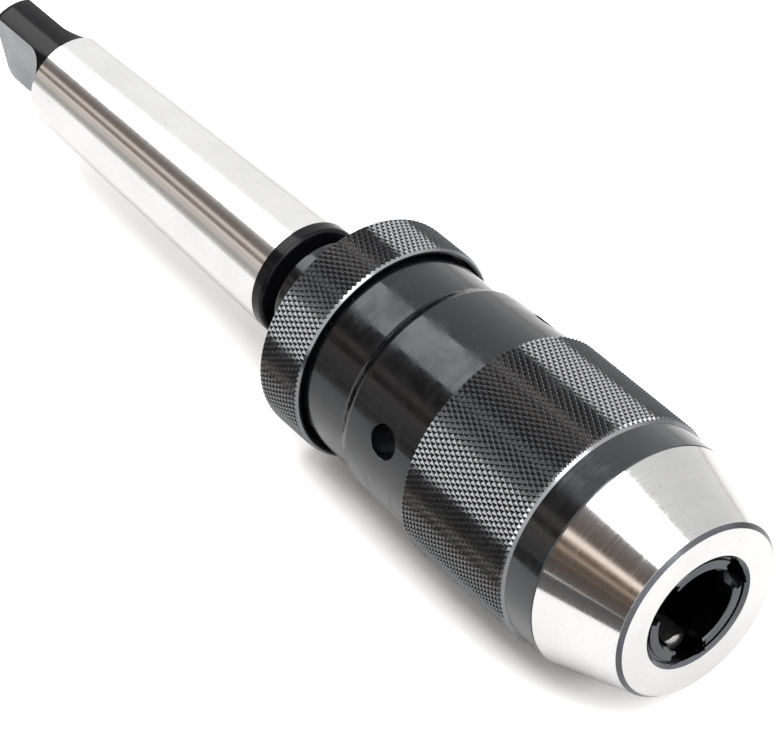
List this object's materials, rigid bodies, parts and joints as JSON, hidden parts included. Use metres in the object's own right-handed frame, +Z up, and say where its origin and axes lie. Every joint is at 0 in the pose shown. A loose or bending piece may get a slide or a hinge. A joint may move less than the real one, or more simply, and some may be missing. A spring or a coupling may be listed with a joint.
{
  "type": "keyless drill chuck",
  "caption": "Self-tightening keyless drill chuck with three sliding jaws on a tanged Morse taper arbor, for holding straight drill shanks in a drilling machine or lathe.",
  "frame": {"origin": "on the chuck's axis, in the gauge plane of the Morse taper, where the shank seats in a spindle or tailstock", "axes": "+X along the axis towards the nose, +Z up as the chuck lies in a horizontal spindle, +Y completes the right-handed frame"},
  "size_m": [0.213, 0.048, 0.048],
  "materials": {
    "ground_steel": "ground, bright; the collar, the tang and the thin chamfer at the nose face are blackened",
    "black_steel": "black oxide, satin, worn bright on the knurl tips",
    "hard_steel": "hardened and ground, oiled",
    "bearing_steel": "polished",
    "cage_brass": "pressed, satin",
    "screw_steel": "black oxide"
  },
  "bodies": {
    "root": {"arbor": "ground_steel", "chuck_body": "black_steel", "rear_ring": "black_steel", "ring_lock_screws": "screw_steel", "front_race": "bearing_steel"},
    "sleeve_group": {"sleeve": "black_steel", "jaw_guide": "ground_steel", "rear_race": "bearing_steel"},
    "screw": {"drive_screw": "hard_steel"},
    "jaw_1_body": {"jaw_1": "hard_steel"},
    "jaw_2_body": {"jaw_2": "hard_steel"},
    "jaw_3_body": {"jaw_3": "hard_steel"},
    "ball_ring": {"ball_cage": "cage_brass", "thrust_ball_1": "bearing_steel", "thrust_ball_2": "bearing_steel", "thrust_ball_3": "bearing_steel", "thrust_ball_4": "bearing_steel", "thrust_ball_5": "bearing_steel", "thrust_ball_6": "bearing_steel", "thrust_ball_7": "bearing_steel", "thrust_ball_8": "bearing_steel", "thrust_ball_9": "bearing_steel", "thrust_ball_10": "bearing_steel", "thrust_ball_11": "bearing_steel", "thrust_ball_12": "bearing_steel", "thrust_ball_13": "bearing_steel", "thrust_ball_14": "bearing_steel", "thrust_ball_15": "bearing_steel", "thrust_ball_16": "bearing_steel", "thrust_ball_17": "bearing_steel", "thrust_ball_18": "bearing_steel"}
  },
  "joints": [
    {"name": "sleeve_turn", "type": "hinge", "parent": "root", "child": "sleeve_group", "pos_m": [0.05, 0, 0], "axis": [-1, 0, 0], "range_deg": [0, 2960]},
    {"name": "ball_ring_turn", "type": "hinge", "parent": "root", "child": "ball_ring", "pos_m": [0.0501, 0, 0], "axis": [-1, 0, 0], "range_deg": [0, 1480]},
    {"name": "screw_advance", "type": "slide", "parent": "sleeve_group", "child": "screw", "axis": [1, 0, 0], "range_m": [0, 0.0206]},
    {"name": "jaw_1_slide", "type": "slide", "parent": "sleeve_group", "child": "jaw_1_body", "axis": [0.9397, -0.316, -0.1309], "range_m": [0, 0.02193]},
    {"name": "jaw_2_slide", "type": "slide", "parent": "sleeve_group", "child": "jaw_2_body", "axis": [0.9397, 0.2713, -0.2082], "range_m": [0, 0.02193]},
    {"name": "jaw_3_slide", "type": "slide", "parent": "sleeve_group", "child": "jaw_3_body", "axis": [0.9397, 0.0446, 0.3391], "range_m": [0, 0.02193]}
  ],
  "couplings": [
    {"joint": "ball_ring_turn", "follows": "sleeve_turn", "ratio": 0.5},
    {"joint": "screw_advance", "follows": "sleeve_turn", "m_per_rad": 0.00039789},
    {"joint": "jaw_1_slide", "follows": "sleeve_turn", "m_per_rad": 0.00042342},
    {"joint": "jaw_2_slide", "follows": "sleeve_turn", "m_per_rad": 0.00042342},
    {"joint": "jaw_3_slide", "follows": "sleeve_turn", "m_per_rad": 0.00042342}
  ]
}
